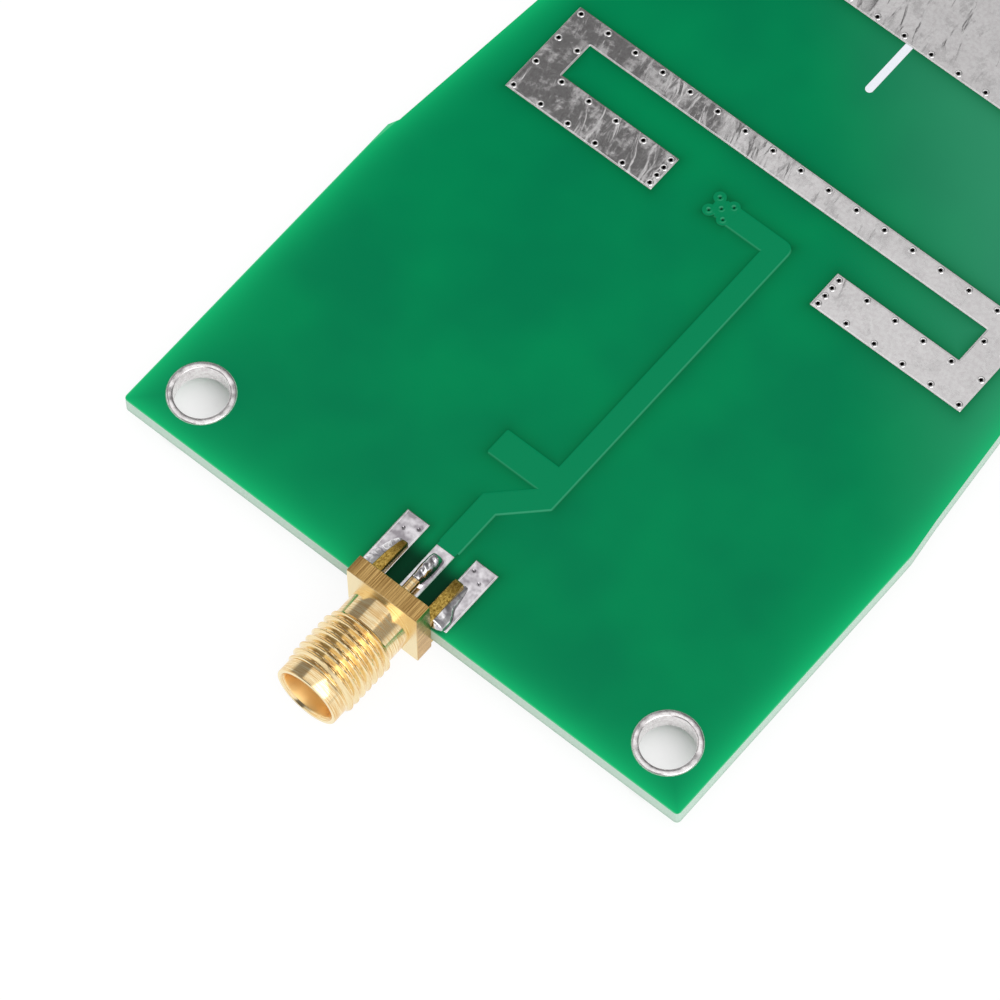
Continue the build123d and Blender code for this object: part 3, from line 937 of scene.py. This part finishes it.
@dataclass
class Jack:
    """Edge-mounted coaxial jack: threaded barrel, square flange and four legs."""

    flange_side: float = 6.9
    flange_thickness: float = 1.6
    rooted: float = 0.4
    bevel: float = 0.05
    corner_cut: float = 0.06
    relief_radius: float = 2.75
    relief_length: float = 2.4
    thread_radius: float = 3.12
    thread_depth: float = 0.36
    thread_length: float = 5.15
    thread_pitch: float = 25.4 / 36
    flank_share: float = 0.965
    crest_share: float = 0.56
    run_out: float = 0.45
    lip_radius: float = 2.85
    lip_length: float = 1.3
    mouth_radius: float = 2.3
    mouth_depth: float = 1.9
    mouth_chamfer: float = 0.25
    bore_radius: float = 2.05
    leg_offset: float = 2.85
    leg_width: float = 0.95
    leg_height: float = 1.0
    leg_length: float = 4.2
    around: int = 128

    def turned(self, radius: np.ndarray, along: np.ndarray, angle: np.ndarray) -> np.ndarray:
        """Points turned about the jack's axis: radius and Y at each angle from straight up."""
        return grid(radius * np.sin(angle), along, AXIS_LEVEL + radius * np.cos(angle))

    def thread(self, along: np.ndarray, angle: np.ndarray) -> np.ndarray:
        """Radius of the right-hand thread at each place along the axis and each angle.

        The phase is the distance along the axis over the pitch plus the share of a turn. The tooth
        is the arcsine of nearly the whole cosine of the phase, which gives straight flanks, and it
        is cut flat at crest and root. Over the run-out, a share of the pitch, it fades to the root
        at both ends.

        Args:
            along: Y of each place, as a row.
            angle: angle of each place, as a column.

        Returns:
            The radius on the grid of both.
        """
        back = NEAR_EDGE - self.flange_thickness - self.relief_length
        front = back - self.thread_length
        phase = (along - front) / self.thread_pitch + angle / (2 * np.pi)
        share = self.flank_share
        flank = np.arcsin(share * np.cos(2 * np.pi * phase)) / np.arcsin(share)
        tooth = np.clip(0.5 + self.crest_share * flank, 0, 1)
        ends = np.minimum(along - front, back - along) / self.thread_pitch
        fade = np.clip(ends / self.run_out, 0, 1) ** 0.7
        return self.thread_radius - self.thread_depth * (1 - tooth * fade)

    def barrel(self) -> np.ndarray:
        """Closed section of the barrel carried round its axis, as a grid of points.

        It runs from inside the flange along the relief, over the thread, the lip and the mouth, and
        back along the bore. Radii are the same all round but for the thread's.
        """
        front = NEAR_EDGE - self.flange_thickness
        thread_back = front - self.relief_length
        thread_front = thread_back - self.thread_length
        mouth = thread_front - self.lip_length
        face = mouth + self.mouth_depth
        relief = [front + self.rooted, front, thread_back + 0.1, thread_back + 0.02]
        outer = [(self.relief_radius, y) for y in relief]
        rim = [
            (self.lip_radius, thread_front - 0.02),
            (self.lip_radius, mouth + 0.08),
            (self.lip_radius - 0.03, mouth + 0.02),
            (self.lip_radius - 0.08, mouth),
            (self.mouth_radius + self.mouth_chamfer, mouth),
            (self.mouth_radius + 0.04, mouth + self.mouth_chamfer - 0.03),
            (self.mouth_radius, mouth + self.mouth_chamfer + 0.05),
            (self.mouth_radius, face),
            (self.bore_radius, face),
            (self.bore_radius, front + self.rooted),
        ]
        turns = np.linspace(thread_back, thread_front, 150)
        angle = full_turn(self.around)
        parts = [
            self.turned(*(np.array(outer).T[:, None, :]), angle),
            self.turned(self.thread(turns[None, :], angle), turns[None, :], angle),
            self.turned(*(np.array(rim).T[:, None, :]), angle),
        ]
        return np.concatenate(parts, axis=1)

    def flange(self) -> np.ndarray:
        """Square flange with a round bore, as rings about the axis.

        The outline's radius at an angle is the half side over the larger of the cosine and the sine,
        cut back at the corners; the bevelled edges are smaller rings.
        """
        angle = full_turn(144)
        half = self.flange_side / 2
        square = half / np.maximum(abs(np.cos(angle)), abs(np.sin(angle)))
        square = np.minimum(square, half * math.sqrt(2) - self.corner_cut)
        back, front = NEAR_EDGE, NEAR_EDGE - self.flange_thickness
        bevel = self.bevel
        rings = [
            (self.bore_radius, back),
            (square - bevel, back),
            (square, back - bevel),
            (square, front + bevel),
            (square - bevel, front),
            (self.bore_radius, front),
        ]
        parts = [self.turned(r + 0 * angle, np.array([[y]]), angle) for r, y in rings]
        return np.concatenate(parts, axis=1)

    def leg(self, side: int, base: float, up: int, taper: float) -> np.ndarray:
        """One leg as a rounded bar carried along Y.

        The section is a rectangle with cut corners. Towards the far end one side closes in by the
        taper while the side nearer the pin stays straight, and the height drops over the last bit.

        Args:
            side: -1 for the left leg and 1 for the right.
            base: the level that the leg stands on.
            up: 1 above the board and -1 below it.
            taper: share of the width that is gone at the far end.

        Returns:
            The grid of points.
        """
        cut, half, height = self.corner_cut, self.leg_width / 2, self.leg_height
        section = np.array(
            [
                (-half + cut, 0), (half - cut, 0), (half, cut), (half, height - cut),
                (half - cut, height), (-half + cut, height), (-half, height - cut), (-half, cut),
            ]
        )
        end = self.leg_length
        y = np.array([-0.3, 0.0, 0.6 * end, end - 0.35, end - 0.08, end, end])
        wide = 1.0 - taper * np.array([0.0, 0.0, 0.35, 0.85, 1.0, 1.0, 1.0])
        wide[-2:] = (wide[-2] - 0.15, 0.0)
        tall = np.array([1.0, 1.0, 1.0, 0.97, 0.86, 0.78, 0.0])
        x = side * (self.leg_offset - half + (section[None, :, 0] + half) * wide[:, None])
        z = base + up * section[None, :, 1] * tall[:, None]
        z[-1] = base + up * height * 0.39
        return grid(x, NEAR_EDGE + y[:, None], z)

    def build(self) -> None:
        """Makes the barrel, the flange and the legs, which stand for the shell."""
        turned = GoldPlate("gold_on_turned_brass").material()
        brushed = GoldPlate(
            "gold_on_brushed_brass", work=Gold.BRUSHED, light="#ecc47e", dark="#946a34",
            line_width=0.045, roughness=0.24, depth=0.008,
        ).material()
        sawn = GoldPlate(
            "gold_on_sawn_brass", work=Gold.SAWN, light="#e0bc62", dark="#94742c", roughness=0.24,
            depth=0.03,
        ).material()
        shell = ["connector_shell"]
        publish(surface("jack_barrel", self.barrel(), True, True), turned, shell)
        publish(surface("jack_flange", self.flange(), True, True, 30), brushed, shell)
        for side, word, taper in ((-1, "left", 0.5), (1, "right", 0.12)):
            for base, up, place in ((FRONT_LEVEL, 1, "front"), (BACK_LEVEL, -1, "back")):
                points = self.leg(side, base, up, taper)
                obj = surface(f"jack_leg_{word}_{place}", points, False, True, 40)
                publish(obj, sawn, shell)


@dataclass
class SolderJoints:
    """Solder frozen on the legs and on the centre pin."""

    leg_side: float = 3.325
    under_leg: float = 0.3
    start: float = 0.12
    length: float = 4.35
    hollow_power: float = 2.1
    bead_power: float = 2.2
    pin_start: float = 1.9
    pin_length: float = 3.2
    pin_half: float = 0.5
    pin_swell: float = 0.16
    pin_film: float = 0.04
    pin_rise: float = 0.99
    # Where along the bead the pin's crown starts to fall, and over what share of the bead.
    pin_fall: tuple[float, float] = (0.68, 0.32)
    sunk: float = 0.02
    steps: int = 44

    def soled(self, top: np.ndarray, sole: float) -> np.ndarray:
        """Closes a sheet of points from below by the same points, in turn back, at one level."""
        foot = top[:, ::-1].copy()
        foot[..., 2] = sole
        return np.concatenate([top, foot], axis=1)

    def fillet(
        self, side: int, level: float, up: int, reach: float, height: float, swell: float
    ) -> np.ndarray:
        """A joint along the outer side of a leg, as a section carried along Y.

        Across the joint the height falls from the leg to the pad's edge: a power of the way across
        gives a hollow fillet, and swell blends it towards a round bead. Both reach and height rise
        and fall along the leg with a few slow waves, so that the joint looks poured.

        Args:
            side: -1 for the left leg and 1 for the right.
            level: the pad's level.
            up: 1 above the board and -1 below it.
            reach: how far the joint spreads from the leg.
            height: how far it climbs up the leg.
            swell: 0 for a hollow fillet and 1 for a round bead.

        Returns:
            The grid of points, closed across.
        """
        t = np.linspace(0, 1, self.steps)[:, None]
        grow = np.clip(t / 0.06, 0, 1) ** 0.5 * np.clip((1 - t) / 0.6, 0, 1) ** 0.6
        calm = 1 - 0.8 * swell
        wave = 1 + calm * (0.12 * np.sin(9.2 * t + 1.3 * side) + 0.08 * np.sin(19 * t + side))
        lean = 1 - 0.35 * calm * t
        waist = 1 - 0.55 * swell * np.clip((t - 0.28) / 0.25, 0, 1)
        across = np.linspace(0, 1, 14)[None, :]
        hollow = (1 - across) ** self.hollow_power
        bead = np.sqrt(np.clip(1 - across**self.bead_power, 0, 1))
        profile = hollow * (1 - swell) + bead * swell
        spread = self.under_leg + reach * waist * grow * (0.9 + 0.1 * wave)
        x = self.leg_side - self.under_leg + spread * across
        z = height * grow * wave * lean * profile
        y = NEAR_EDGE + self.start + self.length * t + 0 * across
        return self.soled(grid(side * x, y, level + up * z), level - up * self.sunk)

    def pin_bead(self) -> np.ndarray:
        """The bead over the pin's far half, as a section carried along Y.

        At each place the bead is a bell over the pin: its crown is the pin's top plus a film, and
        its skirt spreads to the pad. Past the pin's tip the crown falls as a quarter of an ellipse.
        """
        t = np.linspace(0, 1, self.steps)[:, None]
        grow = np.clip(t / 0.12, 0, 1) ** 0.5 * np.clip((1 - t) / 0.05, 0, 1) ** 0.5
        across = np.linspace(-1, 1, 25)[None, :]
        start, share = self.pin_fall
        past = np.clip((t - start) / share, 0, 1)
        crown = self.pin_film + self.pin_rise * np.sqrt(1 - past**self.bead_power)
        bell = np.cos(np.pi / 2 * np.abs(across) ** 1.4) ** 0.7
        wave = 1 + 0.05 * np.sin(16 * t) + 0.03 * np.sin(31 * t + 4 * across)
        half = self.pin_half + self.pin_swell * np.sin(np.pi * np.clip(t * 0.9, 0, 1))
        x = half * grow * across
        z = FRONT_LEVEL + crown * grow * bell * wave
        y = NEAR_EDGE + self.pin_start + self.pin_length * t + 0 * across
        return self.soled(grid(x, y, z), FRONT_LEVEL - self.sunk)

    def build(self, finish: Material) -> None:
        """Makes the four joints of the legs and the bead of the pin."""
        # Name, side, level, way up, reach, height and swell of each leg's joint.
        joints = (
            ("left", -1, FRONT_LEVEL, 1, 1.05, 0.22, 0.0),
            ("right", 1, FRONT_LEVEL, 1, 1.0, 0.85, 0.85),
            ("back_left", -1, BACK_LEVEL, -1, 0.7, 0.7, 0.2),
            ("back_right", 1, BACK_LEVEL, -1, 0.7, 0.7, 0.2),
        )
        shapes = {word: self.fillet(*sizes) for word, *sizes in joints} | {"pin": self.pin_bead()}
        for word, points in shapes.items():
            obj = surface(f"joint_{word}", points, False, True, 70)
            publish(obj, finish, [f"solder_{word}"])


@dataclass
class Board:
    """The board's own nodes: laminate, foils, masks and print."""

    foils: tuple[str, ...] = ("front_dipole", "front_director")
    pads: tuple[str, ...] = ("ground_pad_left", "ground_pad_right", "feed_line")
    backs: tuple[str, ...] = ("back_copper", "back_director")

    def build(self, tin: Material, mottled: Material, green: Material, back: Material) -> None:
        """Gives each carried-over node its finish."""
        dress_node("laminate", Laminate("glass_epoxy_laminate").material())
        dress_node("front_mask", green)
        dress_node("back_mask", back)
        for name in self.foils + self.backs:
            dress_node(name, tin)
        for name in self.pads:
            dress_node(name, mottled)
        # Legend ink is screen printed: a thin matt film with the mesh marks of the screen.
        ink = Matt(
            "white_legend_ink", dark="#e3e8f0", light="#f1f3fb", scale=6.5, detail=1.0, strength=0.3,
            depth=0.004, roughness=0.6, ior=1.5,
        )
        # Fluoropolymer is turned from rod: waxy and soft-edged, with faint marks of turning.
        wax = Matt(
            "white_fluoropolymer", dark="#e2dfd6", light="#efede6", scale=1.5, detail=2.0, strength=0.2,
            depth=0.01, roughness=0.45, ior=1.35,
        )
        dress_node("centre_mark", ink.material())
        dress_node("connector_insulator", wax.material())
        contact = GoldPlate("gold_on_contact_copper", line_width=0.05, roughness=0.14)
        dress_node("centre_contact", contact.material())


@dataclass
class Studio:
    """Camera, floor, lamps and surroundings, none of them part of the object."""

    azimuth: float = 41.223
    elevation: float = 63.272
    roll: float = -1.428
    distance: float = 531.057
    focal_pixels: float = 6973.16
    target: tuple[float, float, float] = (0.404, 7.588, 1.63)
    floor_level: float = -1.32
    floor_half: float = 3000.0
    room: float = 0.15
    walls: float = 0.3
    horizon: float = 0.7
    glow: float = 0.8
    even: float = 0.8
    hole: tuple[float, float, float] = (23.15, 0.0, 0.0)
    hole_shade: tuple[float, float] = (3.3, 4.1)
    paper_glow: float = 1.04
    paper_share: float = 0.86
    sensor: float = 36.0
    pixels: int = 1000
    lit: tuple[float, float, float] = (0.0, 0.03, 0.0)

    def camera(self) -> None:
        """Sets up the camera at the photograph's angle.

        The view direction follows from azimuth and elevation, right is level, up is their cross
        product, and both turn about the view by the roll.
        """
        az, el, roll = (math.radians(a) for a in (self.azimuth, self.elevation, self.roll))
        forward = Vector((-math.sin(az) * math.cos(el), math.cos(az) * math.cos(el), -math.sin(el)))
        right = Vector((math.cos(az), math.sin(az), 0))
        up = right.cross(forward)
        side = math.cos(roll) * right + math.sin(roll) * up
        top = -math.sin(roll) * right + math.cos(roll) * up
        data = bpy.data.cameras.new("camera")
        data.sensor_width = self.sensor
        data.lens = self.focal_pixels * self.sensor / self.pixels
        data.clip_start, data.clip_end = 0.01, 100
        obj = bpy.data.objects.new("camera", data)
        place = Vector(self.target) * MM - forward * self.distance * MM
        turn = Matrix((side, top, -forward)).transposed().to_4x4()
        obj.matrix_world = Matrix.Translation(place) @ turn
        bpy.context.scene.collection.objects.link(obj)
        bpy.context.scene.camera = obj

    def floor(self) -> None:
        """Lays a white floor that keeps the object's shadow and shows white to camera and gloss."""
        half = self.floor_half
        corners = np.array([[-half, -half], [half, -half], [half, half], [-half, half]])
        points = np.column_stack([corners, np.full(4, self.floor_level)])
        obj = mesh_object("floor", points, np.array([[0, 1, 2, 3]]))
        made = bpy.data.materials.new("white_paper_floor")
        made.use_nodes = True
        tree = made.node_tree
        path = add(tree, "LightPath").outputs
        seen = add(tree, "Math ADD", (path["Is Camera Ray"], path["Is Glossy Ray"]))
        all_seen = add(tree, "Math ADD", (seen, path["Is Transmission Ray"]), use_clamp=True)
        paper = tree.nodes["Principled BSDF"]
        fill(paper, {"Base Color": "#f4f4f4", "Roughness": 1.0})
        glow = add(tree, "Emission", ("#ffffff", self.paper_glow))
        # Under the two mounting holes the paper keeps only part of its glow and shows mostly the light
        # that reaches it; the part kept is a painted shade gradient, 0.6 on the near side and 0.05 on
        # the far side, darker away from the jack.
        metres = add(tree, "TexCoord").outputs["Object"]
        at = add(tree, "VectorMath SCALE", {0: metres, "Scale": 1 / MM})
        folded = add(tree, "VectorMath ABSOLUTE", (at,))
        level = add(tree, "VectorMath MULTIPLY", (folded, (1, 1, 0)))
        away = add(tree, "VectorMath DISTANCE", (level, self.hole))
        outside = add(tree, "MapRange", (away, *self.hole_shade), interpolation_type="SMOOTHSTEP")
        depth = add(tree, "SeparateXYZ", (at,)).outputs["Y"]
        under = add(tree, "MapRange", (depth, 2.6, -0.6, 0.05, 0.6))
        open_air = add(tree, "Mix", {0: outside, 2: under, 3: self.paper_share})
        share = add(tree, "Math MULTIPLY", (all_seen, open_air))
        fill(tree.nodes["Material Output"], (add(tree, "MixShader", (share, paper, glow)),))
        obj.data.materials.append(made)

    def surroundings(self) -> None:
        """Makes the world: white to the camera, and to gloss a dim room with a soft box overhead.

        In the X and Y of the ray's direction the box is an L. Its upper part is cut off sharply on
        the left and fades towards the far side; its foot reaches further left. The walls at both
        sides are a little lighter than the room. A window glows low in front, with a dark stand
        before its middle, and the table is white below the horizon.
        """
        world = bpy.data.worlds.new("studio")
        bpy.context.scene.world = world
        world.use_nodes = True
        tree = world.node_tree
        path = add(tree, "LightPath").outputs
        x, y, z = add(tree, "SeparateXYZ", (add(tree, "TexCoord").outputs["Generated"],)).outputs

        def region(*parts: Any) -> Node:
            """A patch of the room: the product of its parts, each 1 inside the patch and 0 outside.

            Args:
                *parts: an axis with the places where a smooth ramp starts and ends, or a share.

            Returns:
                The node that gives the product.
            """
            made = None
            for part in parts:
                if isinstance(part, tuple):
                    part = add(tree, "MapRange", part, interpolation_type="SMOOTHSTEP")
                made = add(tree, "Math MULTIPLY", (made, part)) if made else part
            return made

        foot = region((x, -0.52, -0.44), (y, 0.362, 0.345))
        wide = add(tree, "Math MAXIMUM", (region((x, -0.308, -0.296)), foot))
        box = region(wide, (x, 0.48, 0.42), (y, -0.25, -0.1), (z, 0.0, 0.3))
        fading = add(tree, "MapRange", (y, 0.283, 0.593, 1.0, self.room))
        apart = add(tree, "Math ABSOLUTE", (x,))
        walls = add(tree, "MapRange", (apart, 0.4, 0.5, self.room, self.walls))
        above = add(tree, "Mix", {0: box, 2: walls, 3: fading})
        stand = region((x, -0.12, -0.02), (x, 0.42, 0.32), (y, -0.3, -0.5))
        clear = add(tree, "Math SUBTRACT", (1.0, stand))
        window = region((y, 0.0, -0.2), (z, 0.75, 0.35), clear)
        around = region((y, 0.6, 0.4), (z, 0.36, 0.12), self.horizon)
        patch = region((x, 0.4, 0.46), (y, 0.3, 0.24), (y, -0.2, -0.1), (z, 0.1, 0.2))
        glow = add(tree, "Math MAXIMUM", (window, around))
        glow = add(tree, "Math MAXIMUM", (glow, patch))
        front = add(tree, "Math MULTIPLY_ADD", (glow, self.glow, above))
        gloss = add(tree, "Mix", {0: region((z, 0.06, 0.0)), 2: front, 3: 1.0})
        even = add(tree, "Mix", {0: path["Is Glossy Ray"], 2: self.even, 3: gloss})
        seen = add(tree, "Mix", {0: path["Is Camera Ray"], 2: even, 3: 1.0})
        fill(tree.nodes["Background"], {"Color": "#ffffff", "Strength": seen})

    def lamp(self, name: str, place: tuple[float, float, float], size: float, power: float) -> None:
        """Adds a square soft lamp that faces the board.

        Args:
            name: the lamp's name.
            place: its place in metres.
            size: its side in metres.
            power: its power in watts.
        """
        data = bpy.data.lights.new(name, "AREA")
        data.shape, data.size, data.energy = "SQUARE", size, power
        obj = bpy.data.objects.new(name, data)
        aim = Vector(self.lit) - Vector(place)
        obj.matrix_world = Matrix.Translation(place) @ aim.to_track_quat("-Z", "Y").to_matrix().to_4x4()
        obj.visible_camera = False
        bpy.context.scene.collection.objects.link(obj)

    def build(self) -> None:
        """Sets up all of the studio."""
        self.camera()
        self.floor()
        self.surroundings()
        self.lamp("key_lamp", (0.5, -0.2, 0.7), 0.8, 3.0)
        settings = bpy.context.scene.view_settings
        settings.view_transform = "Standard"
        log.info("studio ready")


def main() -> None:
    """Builds the dressed board, its jack and the studio."""
    logging.basicConfig(level=logging.INFO, format="%(name)s %(message)s")
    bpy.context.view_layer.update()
    tin = TinnedCopper("hot_air_levelled_tin").material()
    bright = TinnedCopper(
        "bright_tin_rims", light="#fbf9f9", dark="#f2f0f0", foil_height=0.0, wave_height=0.001,
        roughness=0.12,
    ).material()
    mottled = TinnedCopper(
        "fluxed_tin_pads", light="#f1edf1", dark="#a39da3", grain_scale=1.0
    ).material()
    lining = TinnedCopper(
        "tinned_hole_lining", light="#fbf8f8", dark="#e9e3e4", foil_height=0.0, wave_height=0.003,
        roughness=0.2,
    ).material()
    green = SolderMask("green_solder_mask_front").material()
    # On the back the film's levels over copper and in pits are never reached.
    back = SolderMask(
        "green_solder_mask_back", side=Side.BACK, copper_level=99.0, pit_level=-9.0
    ).material()
    copper = Copper()
    Board().build(tin, mottled, green, back)
    HoleLips(copper).build(bright, mottled)
    CopperEdges(copper).build(bright, green, back)
    FeedEnd(copper).build(green)
    MountingEyelets().build(lining)
    Jack().build()
    SolderJoints().build(Solder("frozen_solder").material())
    Studio().build()


if __name__ == "__main__":
    main()
